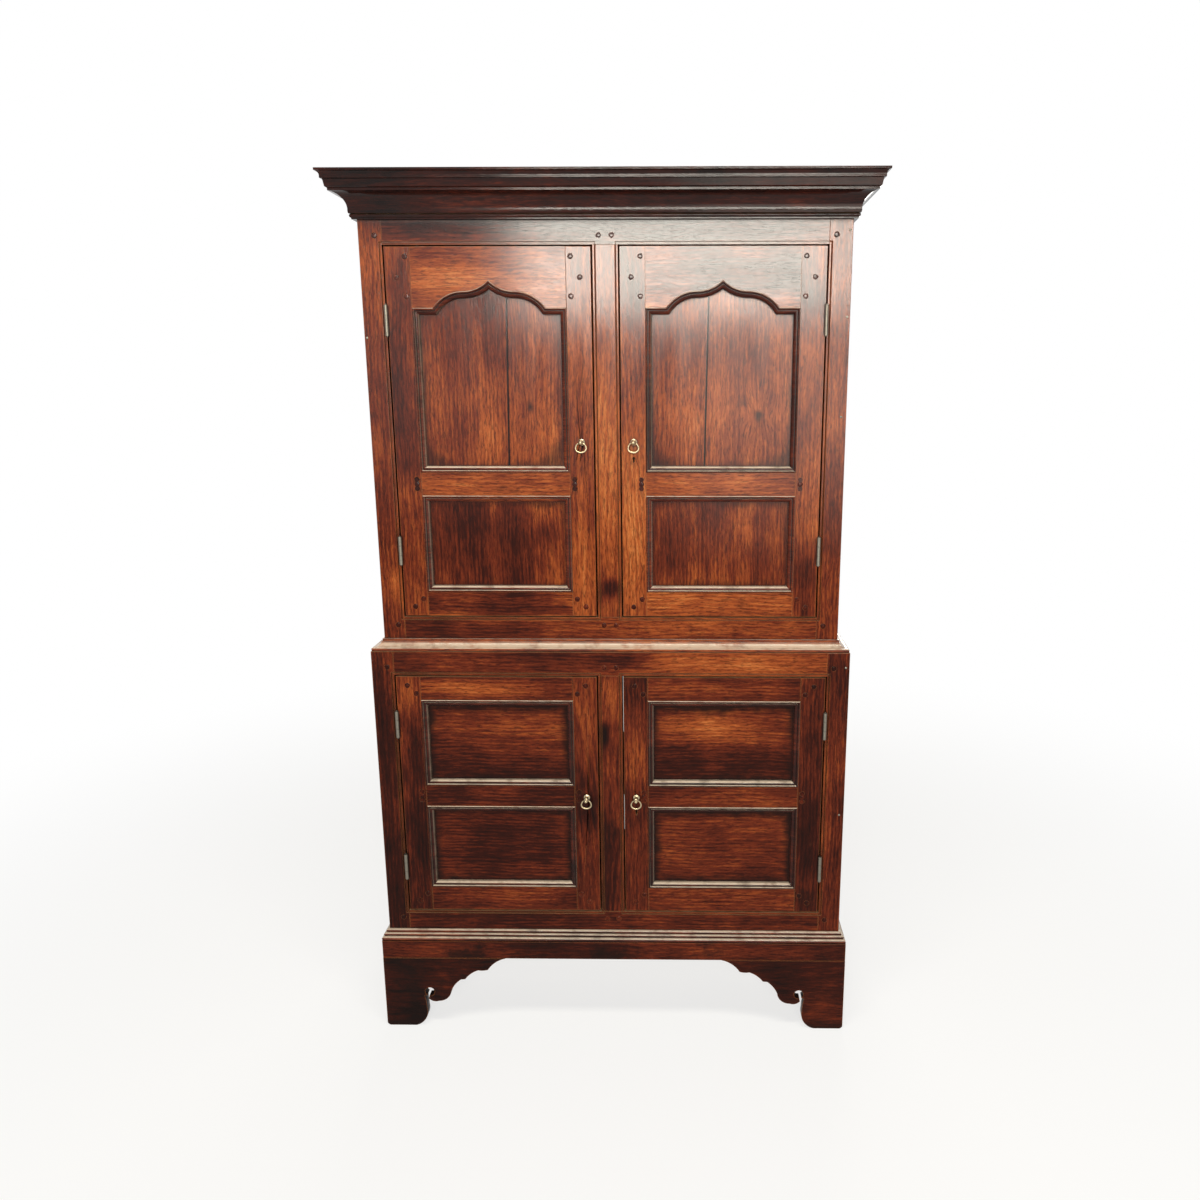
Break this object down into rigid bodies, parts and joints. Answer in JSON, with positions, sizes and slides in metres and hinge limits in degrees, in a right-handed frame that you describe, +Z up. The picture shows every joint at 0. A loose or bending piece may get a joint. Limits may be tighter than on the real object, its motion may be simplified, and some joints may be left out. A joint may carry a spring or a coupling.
{
  "type": "press cupboard",
  "caption": "Tall two-stage joined oak cupboard with a cornice, ogee-arched panelled doors above, rectangular panelled doors below and scrolled bracket feet.",
  "frame": {"origin": "centre of the cupboard's bounding box at the floor", "axes": "+Z up, doors face -Y, +X to the viewer's right"},
  "size_m": [1.168, 0.512, 1.982],
  "materials": {
    "oak_frame": "aged wax polish",
    "oak_door": "aged wax polish",
    "oak_panel": "aged wax polish",
    "oak_moulding": "aged wax polish, darker in the quirks",
    "oak_base": "worn wax polish with dark stains",
    "oak_side": "aged wax polish",
    "oak_inside": "dry unpolished oak and pine",
    "oak_peg": "aged wax polish on end grain",
    "brass": "tarnished",
    "iron": "wrought, browned"
  },
  "bodies": {
    "carcass": {"upper_left_stile": "oak_frame", "upper_right_stile": "oak_frame", "upper_muntin": "oak_frame", "upper_rails": "oak_frame", "upper_sides": "oak_side", "upper_boards": "oak_inside", "upper_back": "oak_inside", "upper_shelf": "oak_inside", "lower_left_stile": "oak_frame", "lower_right_stile": "oak_frame", "lower_muntin": "oak_frame", "lower_rails": "oak_frame", "lower_sides": "oak_side", "lower_boards": "oak_inside", "lower_back": "oak_inside", "lower_shelf": "oak_inside", "cornice": "oak_moulding", "waist_moulding": "oak_moulding", "base_moulding": "oak_moulding", "plinth": "oak_base", "left_foot": "oak_base", "right_foot": "oak_base", "back_feet": "oak_base", "carcass_pegs": "oak_peg", "hinge_plates": "iron"},
    "upper_left_door": {"upper_left_door_stiles": "oak_door", "upper_left_door_rails": "oak_door", "upper_left_door_panels": "oak_panel", "upper_left_door_mouldings": "oak_moulding", "upper_left_door_pegs": "oak_peg", "upper_left_door_hinges": "iron", "upper_left_door_handle": "brass"},
    "upper_left_ring": {"upper_left_door_ring": "brass"},
    "upper_right_door": {"upper_right_door_stiles": "oak_door", "upper_right_door_rails": "oak_door", "upper_right_door_panels": "oak_panel", "upper_right_door_mouldings": "oak_moulding", "upper_right_door_pegs": "oak_peg", "upper_right_door_hinges": "iron", "upper_right_door_handle": "brass", "upper_right_door_lock": "iron"},
    "upper_right_ring": {"upper_right_door_ring": "brass"},
    "lower_left_door": {"lower_left_door_stiles": "oak_door", "lower_left_door_rails": "oak_door", "lower_left_door_panels": "oak_panel", "lower_left_door_mouldings": "oak_moulding", "lower_left_door_pegs": "oak_peg", "lower_left_door_hinges": "iron", "lower_left_door_handle": "brass"},
    "lower_left_ring": {"lower_left_door_ring": "brass"},
    "lower_right_door": {"lower_right_door_stiles": "oak_door", "lower_right_door_rails": "oak_door", "lower_right_door_panels": "oak_panel", "lower_right_door_mouldings": "oak_moulding", "lower_right_door_pegs": "oak_peg", "lower_right_door_hinges": "iron", "lower_right_door_handle": "brass", "lower_right_door_lock": "iron"},
    "lower_right_ring": {"lower_right_door_ring": "brass"}
  },
  "joints": [
    {"name": "upper_left_door_hinge", "type": "hinge", "parent": "carcass", "child": "upper_left_door", "pos_m": [-0.471, -0.1982, 1.438], "axis": [0, 0, -1], "range_deg": [0, 165]},
    {"name": "upper_left_ring_swing", "type": "hinge", "parent": "upper_left_door", "child": "upper_left_ring", "pos_m": [-0.0575, -0.21, 1.43], "axis": [-1, 0, 0], "range_deg": [0, 95]},
    {"name": "upper_right_door_hinge", "type": "hinge", "parent": "carcass", "child": "upper_right_door", "pos_m": [0.471, -0.1982, 1.438], "axis": [0, 0, 1], "range_deg": [0, 165]},
    {"name": "upper_right_ring_swing", "type": "hinge", "parent": "upper_right_door", "child": "upper_right_ring", "pos_m": [0.0575, -0.21, 1.43], "axis": [-1, 0, 0], "range_deg": [0, 95]},
    {"name": "lower_left_door_hinge", "type": "hinge", "parent": "carcass", "child": "lower_left_door", "pos_m": [-0.4955, -0.2242, 0.604], "axis": [0, 0, -1], "range_deg": [0, 165]},
    {"name": "lower_left_ring_swing", "type": "hinge", "parent": "lower_left_door", "child": "lower_left_ring", "pos_m": [-0.0585, -0.236, 0.603], "axis": [-1, 0, 0], "range_deg": [0, 95]},
    {"name": "lower_right_door_hinge", "type": "hinge", "parent": "carcass", "child": "lower_right_door", "pos_m": [0.4955, -0.2242, 0.604], "axis": [0, 0, 1], "range_deg": [0, 165]},
    {"name": "lower_right_ring_swing", "type": "hinge", "parent": "lower_right_door", "child": "lower_right_ring", "pos_m": [0.0585, -0.236, 0.603], "axis": [-1, 0, 0], "range_deg": [0, 95]}
  ]
}
